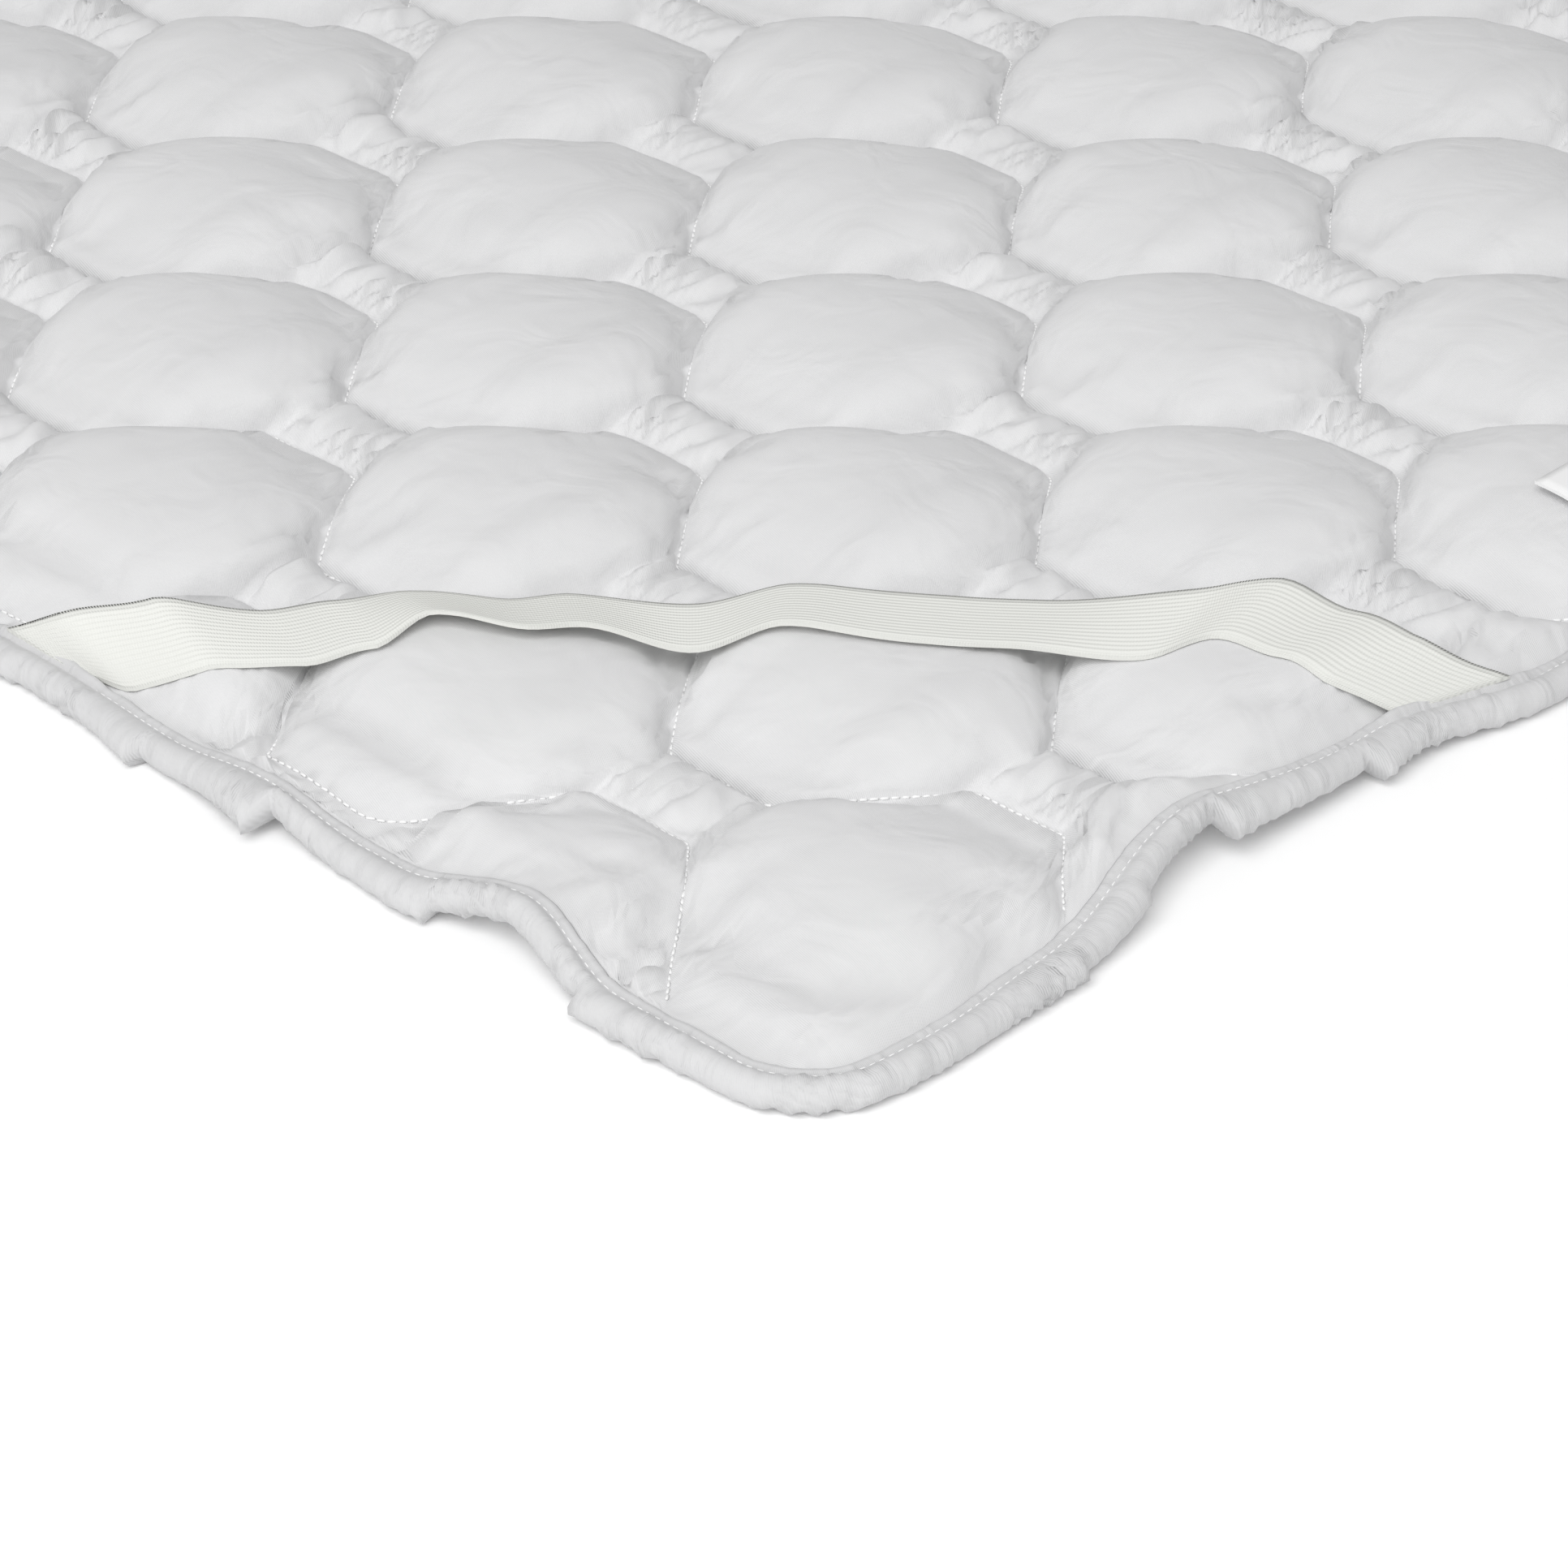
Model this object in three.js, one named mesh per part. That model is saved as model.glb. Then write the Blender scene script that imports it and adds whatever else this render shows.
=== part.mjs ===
// Quilted single mattress topper, 900 x 2000 mm, lying flat.
// A filled pad with onion-shaped quilting, a rolled binding round its edge, an elastic band
// across each corner and a small care label sewn into the binding.
// Millimetres, +Z up. The origin is on the surface it lies on, under the middle of the pad.
// X runs along the short sides and Y along the long ones. The quilting lines run along Y.
import * as THREE from 'three';

// Driving dimensions
const width = 900;
const length = 2000;
const repeat = 145; // one wave of a quilting line
const seamHeight = 7; // top of the pad where it is stitched through
const crownHeight = 24; // rise of a wide cell above its seams
const bindingWidth = 10;
const bindingHeight = 11;
const gap = 0.3; // between pieces that touch
const bandThickness = 1.2;
const labelWidth = 42;
const labelLength = 47;
const labelThickness = 1;
const clearance = 0.7; // between the binding and the end of a strip
const restGap = 0.4; // between the pad and a strip that lies on it

// Quilting lines: each is a wave that stays flat, crosses, stays flat and crosses back
const waveHeight = 0.305 * repeat;
const lineSpacing = repeat / 2;
const lineCount = 12;
const firstLine = -width / 2 + 0.189 * repeat; // where the first line's wave is nearest the edge
const firstNeck = -length / 2 + 0.529 * repeat;
const phaseSteps = [0, 0.125, 0.25, 0.5, 0.625, 0.75]; // flat ends and the middles of the crossings
const acrossSteps = [0, 0.14, 0.5, 0.86, 1]; // from one seam to the next

const padSeamX = width / 2 - bindingWidth; // where the binding is sewn on
const padSeamY = length / 2 - bindingWidth;
const cornerRadius = 22; // of the sewn line
const edgeFall = 45; // from the binding's seam to the full crown
const drawReach = 70; // how far inwards a drawn-in edge is felt
const ripple = 1.5; // how far each repeat of the quilting draws the edge in

// Places where the edge near one corner is drawn in and lifted, as mm along the edge from that corner
const shortEdgeDraws = [
  { at: 168, reach: 60, inward: 15, lift: 8 },
  { at: 258, reach: 70, inward: 9, lift: 3 },
  { at: 396, reach: 90, inward: 9, lift: 0 },
];
const longEdgeDraws = [
  { at: 96, reach: 42, inward: 9, lift: 7 },
  { at: 211, reach: 40, inward: 0, lift: 4 },
  { at: 326, reach: 90, inward: 5, lift: 0 },
];

function smooth(share) {
  const s = Math.min(1, Math.max(0, share));
  return s * s * (3 - 2 * s);
}

function drawnIn(draws, along, column) {
  return draws.reduce((sum, d) => sum + d[column] * (1 - smooth(Math.abs(along - d.at) / d.reach)), 0);
}

function rippleAt(along) {
  return ripple * (0.5 - 0.5 * Math.cos((2 * Math.PI * along) / repeat));
}

// How far a place is moved by the edges near it, as [along X, along Y]
function pull(x, y) {
  const fadeAcross = 1 - smooth((padSeamX - Math.abs(x)) / drawReach);
  const fadeAlong = 1 - smooth((padSeamY - Math.abs(y)) / drawReach);
  let pullX = -Math.sign(x) * rippleAt(y - firstNeck) * fadeAcross;
  let pullY = -Math.sign(y) * rippleAt(x - firstLine) * fadeAlong;
  if (x < 0) pullX += drawnIn(longEdgeDraws, y + length / 2, 'inward') * fadeAcross;
  if (y < 0) pullY += drawnIn(shortEdgeDraws, x + width / 2, 'inward') * fadeAlong;
  return [pullX, pullY];
}

// X of quilting line k at a place along the pad
function lineX(k, y) {
  const turns = (firstNeck - y) / repeat + (k % 2) * 0.5;
  const phase = turns - Math.floor(turns);
  let share = 1;
  if (phase < 0.25) share = 0;
  else if (phase < 0.5) share = (phase - 0.25) / 0.25;
  else if (phase >= 0.75) share = (1 - phase) / 0.25;
  return firstLine + k * lineSpacing + waveHeight * share;
}

// The edges of strip k: strip 0 lies between the first long side and the first line
function stripEdges(k, y) {
  const low = k === 0 ? -padSeamX : lineX(k - 1, y);
  const high = k === lineCount ? padSeamX : lineX(k, y);
  return [low, high];
}

// Rounded section of a filled cell, 0 at both seams and 1 in the middle
const crownFlatness = 2.6;
const shoulderSteepness = 0.6;

function rounded(share) {
  const fromMiddle = Math.abs(1 - 2 * Math.min(1, Math.max(0, share)));
  return Math.pow(1 - Math.pow(fromMiddle, crownFlatness), shoulderSteepness);
}

// Rise above the seams at a share of the way across a strip, before the edges are drawn in.
// A narrow neck of a cell is held lower by its seams than a wide place.
const fillingWidth = 55;
const fillingPower = 1.3;

function crown(stripWidth, across, y) {
  const rise = crownHeight * (1 - Math.exp(-Math.pow(stripWidth / fillingWidth, fillingPower)));
  const fromEnd = padSeamY - Math.abs(y);
  return rise * rounded(across) * rounded(0.5 * Math.min(1, fromEnd / edgeFall));
}

function topBeforeDraw(x, y) {
  for (let k = 0; k <= lineCount; k++) {
    const [low, high] = stripEdges(k, y);
    if (x <= high || k === lineCount) return seamHeight + crown(high - low, (x - low) / (high - low), y);
  }
  return seamHeight;
}

// Moves a point of the flat rectangle to its place on the pad: corners rounded, edges drawn in
function placed(x, y) {
  const insideX = Math.max(0, Math.abs(x) - (padSeamX - cornerRadius)) / cornerRadius;
  const insideY = Math.max(0, Math.abs(y) - (padSeamY - cornerRadius)) / cornerRadius;
  let px = x;
  let py = y;
  if (insideX > 0 && insideY > 0) {
    const far = Math.max(insideX, insideY) / Math.hypot(insideX, insideY);
    px = Math.sign(x) * (padSeamX - cornerRadius + insideX * far * cornerRadius);
    py = Math.sign(y) * (padSeamY - cornerRadius + insideY * far * cornerRadius);
  }
  const [pullX, pullY] = pull(x, y);
  return [px + pullX, py + pullY];
}

function edgeLift(x, y) {
  const onShort = y < -padSeamY + 1;
  const onLong = x < -padSeamX + 1;
  return Math.max(
    onShort ? drawnIn(shortEdgeDraws, x + width / 2, 'lift') : 0,
    onLong ? drawnIn(longEdgeDraws, y + length / 2, 'lift') : 0,
  );
}

// Rows along the pad, at the ends and at the turning places of the quilting lines
const leastEndRow = 8; // no row lies nearer to an end row than this

function rowPlaces() {
  const rows = [-padSeamY];
  const firstTurn = Math.floor((-padSeamY - firstNeck) / repeat) - 1;
  const lastTurn = Math.ceil((padSeamY - firstNeck) / repeat) + 1;
  for (let turn = firstTurn; turn <= lastTurn; turn++) {
    for (const step of phaseSteps) {
      const y = firstNeck + (turn + step) * repeat;
      if (Math.abs(y) < padSeamY - leastEndRow) rows.push(y);
    }
  }
  rows.push(padSeamY);
  return rows;
}

function closedMesh(name, positions, triangles, material) {
  const geometry = new THREE.BufferGeometry();
  geometry.setAttribute('position', new THREE.Float32BufferAttribute(positions.flat(), 3));
  geometry.setIndex(triangles.flat());
  geometry.computeVertexNormals();
  const mesh = new THREE.Mesh(geometry, material);
  mesh.name = name;
  return mesh;
}

const coverCloth = new THREE.MeshStandardMaterial({ color: 0xe6e6e8, roughness: 0.85, metalness: 0 });
const bindingCloth = new THREE.MeshStandardMaterial({ color: 0xeaeaec, roughness: 0.85, metalness: 0 });
const elasticKnit = new THREE.MeshStandardMaterial({ color: 0xe7e8e1, roughness: 0.9, metalness: 0 });
const labelTape = new THREE.MeshStandardMaterial({ color: 0xf0f0f0, roughness: 0.6, metalness: 0 });

// The filled pad: a grid that follows the quilting lines, its rim going down to a flat underside
function quiltedPad(rows) {
  const positions = [];
  const triangles = [];
  const perRow = (lineCount + 1) * (acrossSteps.length - 1) + 1;
  for (const y of rows) {
    for (let column = 0; column < perRow; column++) {
      const strip = Math.min(lineCount, Math.floor(column / (acrossSteps.length - 1)));
      const across = acrossSteps[column - strip * (acrossSteps.length - 1)];
      const [low, high] = stripEdges(strip, y);
      const x = low + (high - low) * across;
      const [px, py] = placed(x, y);
      positions.push([px, py, seamHeight + crown(high - low, across, y) + edgeLift(x, y)]);
    }
  }
  const at = (row, column) => row * perRow + column;
  for (let row = 0; row + 1 < rows.length; row++) {
    for (let column = 0; column + 1 < perRow; column++) {
      triangles.push([at(row, column), at(row, column + 1), at(row + 1, column + 1)]);
      triangles.push([at(row, column), at(row + 1, column + 1), at(row + 1, column)]);
    }
  }
  const rim = [];
  for (let column = 0; column < perRow; column++) rim.push(at(0, column));
  for (let row = 1; row < rows.length; row++) rim.push(at(row, perRow - 1));
  for (let column = perRow - 2; column >= 0; column--) rim.push(at(rows.length - 1, column));
  for (let row = rows.length - 2; row > 0; row--) rim.push(at(row, 0));
  const underStart = positions.length;
  for (const index of rim) positions.push([positions[index][0], positions[index][1], 0]);
  rim.forEach((index, i) => {
    const next = (i + 1) % rim.length;
    triangles.push([index, underStart + i, underStart + next]);
    triangles.push([index, underStart + next, rim[next]]);
  });
  const outline = rim.map((index) => new THREE.Vector2(positions[index][0], positions[index][1]));
  for (const [a, b, c] of THREE.ShapeUtils.triangulateShape(outline, [])) {
    triangles.push([underStart + a, underStart + c, underStart + b]);
  }
  const rimPoints = rim.map((index) => positions[index]);
  return { mesh: closedMesh('quilted_pad', positions, triangles, coverCloth), rimPoints };
}

// The rolled binding: one ring whose section follows the pad's rim, from the seam outwards
const bindingSection = [
  { out: gap, up: 0 },
  { out: gap, up: 0.72 * bindingHeight },
  { out: 0.5 * bindingWidth, up: bindingHeight },
  { out: bindingWidth, up: 0.5 * bindingHeight },
  { out: 0.7 * bindingWidth, up: 0 },
];

const leastTurn = 0.6; // keeps the inner wall's offset small at a sharp turn

function rolledBinding(rimPoints) {
  const count = rimPoints.length;
  const sides = bindingSection.length;
  const positions = [];
  const triangles = [];
  for (let i = 0; i < count; i++) {
    const before = rimPoints[(i + count - 1) % count];
    const here = rimPoints[i];
    const after = rimPoints[(i + 1) % count];
    const first = new THREE.Vector2(here[1] - before[1], before[0] - here[0]).normalize();
    const second = new THREE.Vector2(after[1] - here[1], here[0] - after[0]).normalize();
    const outward = first.clone().add(second).normalize();
    const stretch = 1 / Math.max(leastTurn, outward.dot(second));
    const lift = here[2] - seamHeight;
    for (const point of bindingSection) {
      const reach = point.out * (point.out === gap ? stretch : 1);
      positions.push([here[0] + outward.x * reach, here[1] + outward.y * reach, point.up + lift]);
    }
  }
  for (let i = 0; i < count; i++) {
    const next = (i + 1) % count;
    for (let s = 0; s < sides; s++) {
      const t = (s + 1) % sides;
      triangles.push([i * sides + s, i * sides + t, next * sides + t]);
      triangles.push([i * sides + s, next * sides + t, next * sides + s]);
    }
  }
  return closedMesh('edge_binding', positions, triangles, bindingCloth);
}

// Height of the pad's top at a place of the finished outline: the place is moved back to the flat
// rectangle first
function padTop(x, y) {
  let flatX = x;
  let flatY = y;
  for (let pass = 0; pass < 3; pass++) {
    const [placedX, placedY] = placed(flatX, flatY);
    flatX += x - placedX;
    flatY += y - placedY;
  }
  flatX = THREE.MathUtils.clamp(flatX, -padSeamX, padSeamX);
  flatY = THREE.MathUtils.clamp(flatY, -padSeamY, padSeamY);
  return topBeforeDraw(flatX, flatY) + edgeLift(flatX, flatY);
}

// A flat strip of cloth laid over the pad, bridging the troughs between the cells. Each row holds
// its near and far edge points and how much higher the far one is.
const placesAcross = 8; // where the pad's height is felt, across the strip
const settlingPasses = 400;

function laidStrip(name, rows, thickness, sag, material) {
  const last = rows.length - 1;
  const support = rows.map(({ near, far, rise }) => {
    let highest = 0;
    for (let place = 0; place <= placesAcross; place++) {
      const share = place / placesAcross;
      const p = near.clone().lerp(far, share);
      highest = Math.max(highest, padTop(p.x, p.y) - rise * (share - 0.5));
    }
    return highest + restGap;
  });
  const lowest = support.map((h, i) => {
    if (i === 0 || i === last) return h;
    return Math.max(support[i - 1], h, support[i + 1]);
  });
  const height = lowest.slice();
  for (let pass = 0; pass < settlingPasses; pass++) {
    for (let i = 1; i < last; i++) {
      height[i] = Math.max(lowest[i], (height[i - 1] + height[i + 1]) / 2 - sag);
    }
  }
  const positions = [];
  const triangles = [];
  rows.forEach(({ near, far, rise }, i) => {
    positions.push([near.x, near.y, height[i] - rise / 2], [far.x, far.y, height[i] + rise / 2]);
    positions.push([far.x, far.y, height[i] + rise / 2 + thickness]);
    positions.push([near.x, near.y, height[i] - rise / 2 + thickness]);
  });
  for (let i = 0; i < last; i++) {
    for (let s = 0; s < 4; s++) {
      const t = (s + 1) % 4;
      triangles.push([i * 4 + s, i * 4 + t, i * 4 + 4 + t]);
      triangles.push([i * 4 + s, i * 4 + 4 + t, i * 4 + 4 + s]);
    }
  }
  const end = last * 4;
  triangles.push([0, 2, 1], [0, 3, 2], [end, end + 1, end + 2], [end, end + 2, end + 3]);
  return closedMesh(name, positions, triangles, material);
}

// A corner band runs from the long side to the short one. Its cut ends lie along the binding, and
// these are their places along each side from the corner.
const bandOnLong = { near: 295, far: 332 };
const bandOnShort = { near: 253, far: 292 };
const bandSteps = 30;
const bandSag = 0.35; // how far each step of the band may sink between its neighbours

// How the band lies, at shares of its length: how far it strays towards the corner, and how much
// its far side stands above its near one
const bandLie = [
  { share: 0, stray: 0, rise: 0 },
  { share: 0.14, stray: 9, rise: 3 },
  { share: 0.32, stray: 2, rise: -6 },
  { share: 0.5, stray: -4, rise: -2 },
  { share: 0.68, stray: -8, rise: -1 },
  { share: 0.84, stray: -9, rise: 5 },
  { share: 1, stray: 0, rise: 0 },
];

function lieAt(share, column) {
  const next = Math.max(1, bandLie.findIndex((row) => row.share >= share));
  const from = bandLie[next - 1];
  const to = bandLie[next];
  return from[column] + (to[column] - from[column]) * smooth((share - from.share) / (to.share - from.share));
}

function cornerBand(name, signX, signY, looseness) {
  const atCorner = (along, up) => new THREE.Vector2(signX * (along - width / 2), signY * (up - length / 2));
  const sewnOn = bindingWidth + clearance;
  const towardsCorner = new THREE.Vector2(-signX, -signY).normalize();
  const edgePoint = (side, share) => {
    const start = atCorner(sewnOn, bandOnLong[side]);
    const end = atCorner(bandOnShort[side], sewnOn);
    const p = start.lerp(end, share).addScaledVector(towardsCorner, looseness * lieAt(share, 'stray'));
    const [pullX, pullY] = pull(p.x, p.y);
    return new THREE.Vector2(p.x + pullX, p.y + pullY);
  };
  const rows = [];
  for (let i = 0; i <= bandSteps; i++) {
    const share = i / bandSteps;
    rows.push({ near: edgePoint('near', share), far: edgePoint('far', share), rise: lieAt(share, 'rise') });
  }
  if (signX * signY < 0) rows.reverse();
  return laidStrip(name, rows, bandThickness, bandSag, elasticKnit);
}

// The care label, sewn into the binding of the short side beyond the band
const labelFromCorner = 381;
const labelSteps = 8;
const labelSag = 0.5;

function careLabel() {
  const rows = [];
  for (let i = 0; i <= labelSteps; i++) {
    const edgePoint = (side) => {
      const x = labelFromCorner - width / 2 + (side * labelWidth) / 2;
      const y = -padSeamY + clearance + (labelLength * i) / labelSteps;
      const [pullX, pullY] = pull(x, y);
      return new THREE.Vector2(x + pullX, y + pullY);
    };
    rows.push({ near: edgePoint(1), far: edgePoint(-1), rise: 0 });
  }
  return laidStrip('care_label', rows, labelThickness, labelSag, labelTape);
}

const topper = new THREE.Group();
const { mesh: pad, rimPoints } = quiltedPad(rowPlaces());
topper.add(pad);
topper.add(rolledBinding(rimPoints));
topper.add(cornerBand('corner_band_1', 1, 1, 1));
topper.add(cornerBand('corner_band_2', 1, -1, 0.5));
topper.add(cornerBand('corner_band_3', -1, -1, -0.7));
topper.add(cornerBand('corner_band_4', -1, 1, 0.2));
topper.add(careLabel());

export default topper;
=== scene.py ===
import math

import bpy
import numpy as np
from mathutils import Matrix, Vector
from mathutils.bvhtree import BVHTree


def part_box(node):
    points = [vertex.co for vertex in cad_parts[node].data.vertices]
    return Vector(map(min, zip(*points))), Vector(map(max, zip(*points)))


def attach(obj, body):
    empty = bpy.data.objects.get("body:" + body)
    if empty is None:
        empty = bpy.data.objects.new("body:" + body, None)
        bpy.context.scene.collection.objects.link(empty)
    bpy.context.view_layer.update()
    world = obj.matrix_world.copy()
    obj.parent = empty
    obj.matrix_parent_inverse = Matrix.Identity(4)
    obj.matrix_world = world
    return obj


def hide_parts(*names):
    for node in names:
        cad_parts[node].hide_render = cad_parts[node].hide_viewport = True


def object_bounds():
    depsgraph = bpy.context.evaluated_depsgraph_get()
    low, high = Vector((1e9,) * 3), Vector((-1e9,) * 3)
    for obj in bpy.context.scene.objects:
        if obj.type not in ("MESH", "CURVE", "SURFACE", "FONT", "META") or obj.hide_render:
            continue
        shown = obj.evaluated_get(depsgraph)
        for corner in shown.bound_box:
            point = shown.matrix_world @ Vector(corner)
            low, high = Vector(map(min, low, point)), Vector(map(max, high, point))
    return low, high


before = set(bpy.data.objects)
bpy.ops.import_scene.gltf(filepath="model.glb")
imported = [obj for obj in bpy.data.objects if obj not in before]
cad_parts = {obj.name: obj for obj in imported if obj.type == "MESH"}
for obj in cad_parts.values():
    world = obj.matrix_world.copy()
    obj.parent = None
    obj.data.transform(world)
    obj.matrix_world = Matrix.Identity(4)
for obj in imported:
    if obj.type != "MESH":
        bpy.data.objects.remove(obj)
cad_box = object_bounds()
scene = bpy.context.scene

# The view. The camera stands off the near corner and looks along the diagonal between the two
# edges that meet there, from a long way off, so the far cells are hardly smaller than the near ones.
repeat = 0.145                       # one wave of a quilting line
near_corner = Vector((cad_box[0][0], cad_box[0][1], 0.0))
aim_from_corner = Vector((0.7694, 0.8088, 0.0)) * repeat
aim_height = 0.007
aim = near_corner + aim_from_corner + Vector((0, 0, aim_height))
camera_azimuth = math.radians(-45)
camera_elevation = math.radians(31.34)
camera_distance = 1.3616
away = Vector((-math.sin(camera_azimuth), math.cos(camera_azimuth), 0.0))
towards_camera = Vector((0, 0, math.sin(camera_elevation))) - away * math.cos(camera_elevation)
bpy.ops.object.select_all(action="DESELECT")
bpy.ops.object.camera_add(location=aim + towards_camera * camera_distance,
                          rotation=towards_camera.to_track_quat("Z", "Y").to_euler())
camera = bpy.context.object
camera.data.lens = 117.4
camera.data.clip_end = 60
scene.camera = camera
scene.view_settings.view_transform = "Standard"

# The studio. A plain pale floor under an even white surround, with one broad lamp high on the
# camera's side, so that the sides of the cells that face the camera are the lightest.
def plain_finish(name, **sockets):
    """A new material whose shader has these sockets set."""
    material = bpy.data.materials.new(name)
    material.use_nodes = True
    shader = material.node_tree.nodes["Principled BSDF"]
    for socket, value in sockets.items():
        shader.inputs[socket.replace("_", " ")].default_value = value
    return material


bpy.ops.mesh.primitive_plane_add(size=14, location=(0, 0, 0))
floor = bpy.context.object
floor.name = "studio_floor"
floor.data.materials.append(plain_finish("pale_floor", Base_Color=(0.96, 0.96, 0.96, 1), Roughness=0.9,
                                         Emission_Color=(1, 1, 1, 1), Emission_Strength=0.05))

surround = bpy.data.worlds.new("studio_surround")
surround.use_nodes = True
even_white = surround.node_tree.nodes["Background"]
even_white.inputs["Color"].default_value = (1, 1, 1, 1)
even_white.inputs["Strength"].default_value = 0.52
scene.world = surround


def softbox(name, azimuth, elevation, distance, size, watts):
    """A square lamp that faces the near corner from that side."""
    turn = math.radians(azimuth)
    lift = math.radians(elevation)
    side = Vector((math.sin(turn), -math.cos(turn), 0)) * math.cos(lift) + Vector((0, 0, math.sin(lift)))
    bpy.ops.object.light_add(type="AREA", location=aim + side * distance,
                             rotation=side.to_track_quat("Z", "Y").to_euler())
    lamp = bpy.context.object
    lamp.name = name
    lamp.data.shape = "SQUARE"
    lamp.data.size = size
    lamp.data.energy = watts


softbox("broad_lamp", -62, 48, 3.6, 2.8, 102)

# The quilted pad. Two layers of fine white twill with soft filling between them, stitched through
# along wavy lines. The cloth is laid out over the filling, held at its seams, and blown up by the
# filling's push, with more cloth than the seams leave room for, so that it gathers at them.
pad_low, pad_high = (Vector(corner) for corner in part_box("quilted_pad"))
half_x = 0.4400                      # the binding's seam, from the middle
half_y = 0.9900
line_count = 12
wave_height = 0.305 * repeat
first_line = near_corner.x + 0.189 * repeat
first_neck = near_corner.y + 0.529 * repeat
seam_height = 0.007
crossing_rise = 0.0035
start_crown = 0.016                  # rise of a wide cell before the filling pushes
crown_fall = 0.034                   # from the seam at an end to the full crown
flat_margin = 0.0043                 # held flat under the binding's lip
corner_radius = 0.022
draw_reach = 0.070
ripple = 0.0015
near_y = -0.29                       # fine rows up to here, wider ones beyond
near_strips = 10
fine_columns, wide_columns = 17, 8
near_rows, far_rows = (0.0019, 0.0036), (0.0064, 0.0110)     # across a neck, across a cell
neck_before, neck_after = 0.27, 0.48     # places in each half wave that end the necks' fine rows
crowded_share, even_share = 0.45, 0.55   # how the columns of a strip are spread
quarter = 0.25                       # of a wave each, a line is low, rises, is high and falls
kink = 6                             # how sharply a fall ends
first_fall_slope = 1.12              # of the first line's last fall, which goes under the binding
first_line_shift = 0.008             # how much nearer the binding the first line runs

# Where the edge near this corner is drawn in and lifted: place along the edge, reach, inward, lift
short_edge_draws = ((0.058, 0.050, -0.003, 0.0), (0.168, 0.070, 0.0155, 0.008),
                    (0.240, 0.060, 0.009, 0.003), (0.396, 0.090, 0.007, 0.0))
long_edge_draws = ((0.115, 0.042, 0.0075, 0.007), (0.211, 0.040, 0.001, 0.004),
                   (0.326, 0.090, 0.002, 0.0))
inward, upward = 2, 3                # the columns above


def smooth(share):
    """A soft step from 0 to 1."""
    share = np.clip(share, 0, 1)
    return share * share * (3 - 2 * share)


def drawn_in(draws, along, column):
    """How far the draws of one edge move it at a place along it, inwards or up."""
    return sum(draw[column] * (1 - smooth(np.abs(along - draw[0]) / draw[1])) for draw in draws)


def beat_of(k, y):
    """The place within one wave of line k: 0 at a kink, then low, rising, high and falling back."""
    return ((first_neck - y) / repeat + (k % 2) * 0.5) % 1.0


def seam_line(k, y):
    """X of quilting line k: low, a rounded rise, high, and a straight fall that ends in a kink."""
    beat = beat_of(k, y)
    rise = 1 - np.cos(np.clip((beat - quarter) / quarter, 0, 1) * math.pi / 2)
    falling = np.clip((beat - 3 * quarter) / quarter, 0, 1)
    fall = 1 - falling * (1 - np.exp(-kink * falling))
    share = np.where(beat < 0.5, rise, fall)
    x = first_line + k * repeat / 2 + wave_height * share
    if k > 0:
        return x
    # The first line runs nearer the binding, and at this corner it goes under it
    last_fall = first_neck + quarter * repeat
    falling_line = first_line + wave_height - (last_fall - y) * first_fall_slope
    under_binding = np.maximum(falling_line, -half_x + 1.05 * flat_margin)
    return np.where(y < last_fall, np.minimum(under_binding, first_line + wave_height),
                    x - first_line_shift * (1 - share))


def edge_pull(x, y):
    """How far the edges near a place move it, along X and along Y."""
    fade_across = 1 - smooth((half_x - np.abs(x)) / draw_reach)
    fade_along = 1 - smooth((half_y - np.abs(y)) / draw_reach)
    beat_y = ripple * (0.5 - 0.5 * np.cos(2 * math.pi * (y - first_neck) / repeat))
    beat_x = ripple * (0.5 - 0.5 * np.cos(2 * math.pi * (x - first_line) / repeat))
    pull_x = -np.sign(x) * beat_y * fade_across
    pull_y = -np.sign(y) * beat_x * fade_along
    pull_x = pull_x + (x < 0) * drawn_in(long_edge_draws, y - near_corner.y, inward) * fade_across
    pull_y = pull_y + (y < 0) * drawn_in(short_edge_draws, x - near_corner.x, inward) * fade_along
    return pull_x, pull_y


def edge_lift(x, y):
    """How far the drawn-in edge lifts the cloth, fading out over the first centimetres."""
    fade = 0.035
    on_short = drawn_in(short_edge_draws, x - near_corner.x, upward) * (1 - smooth((y + half_y) / fade))
    on_long = drawn_in(long_edge_draws, y - near_corner.y, upward) * (1 - smooth((x + half_x) / fade))
    return np.maximum(on_short, on_long)


def placed(x, y):
    """Moves places of the flat rectangle to the finished outline, with round corners."""
    over_x = np.maximum(0, np.abs(x) - (half_x - corner_radius)) / corner_radius
    over_y = np.maximum(0, np.abs(y) - (half_y - corner_radius)) / corner_radius
    both = (over_x > 0) & (over_y > 0)
    far = np.where(both, np.maximum(over_x, over_y) / np.maximum(np.hypot(over_x, over_y), 1e-9), 1.0)
    round_x = np.sign(x) * (half_x - corner_radius + over_x * far * corner_radius)
    round_y = np.sign(y) * (half_y - corner_radius + over_y * far * corner_radius)
    pull_x, pull_y = edge_pull(x, y)
    return np.where(both, round_x, x) + pull_x, np.where(both, round_y, y) + pull_y


def row_places():
    """Y of the cloth's rows, closer together near this corner and across the necks."""
    places = [-half_y, -half_y + flat_margin]
    while places[-1] < half_y - flat_margin:
        y = places[-1]
        phase = ((first_neck - y) / repeat) % 0.5
        neck_row, cell_row = near_rows if y < near_y else far_rows
        places.append(y + (neck_row if phase < neck_before or phase > neck_after else cell_row))
    return np.array(places[:-1] + [half_y - flat_margin, half_y])


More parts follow.
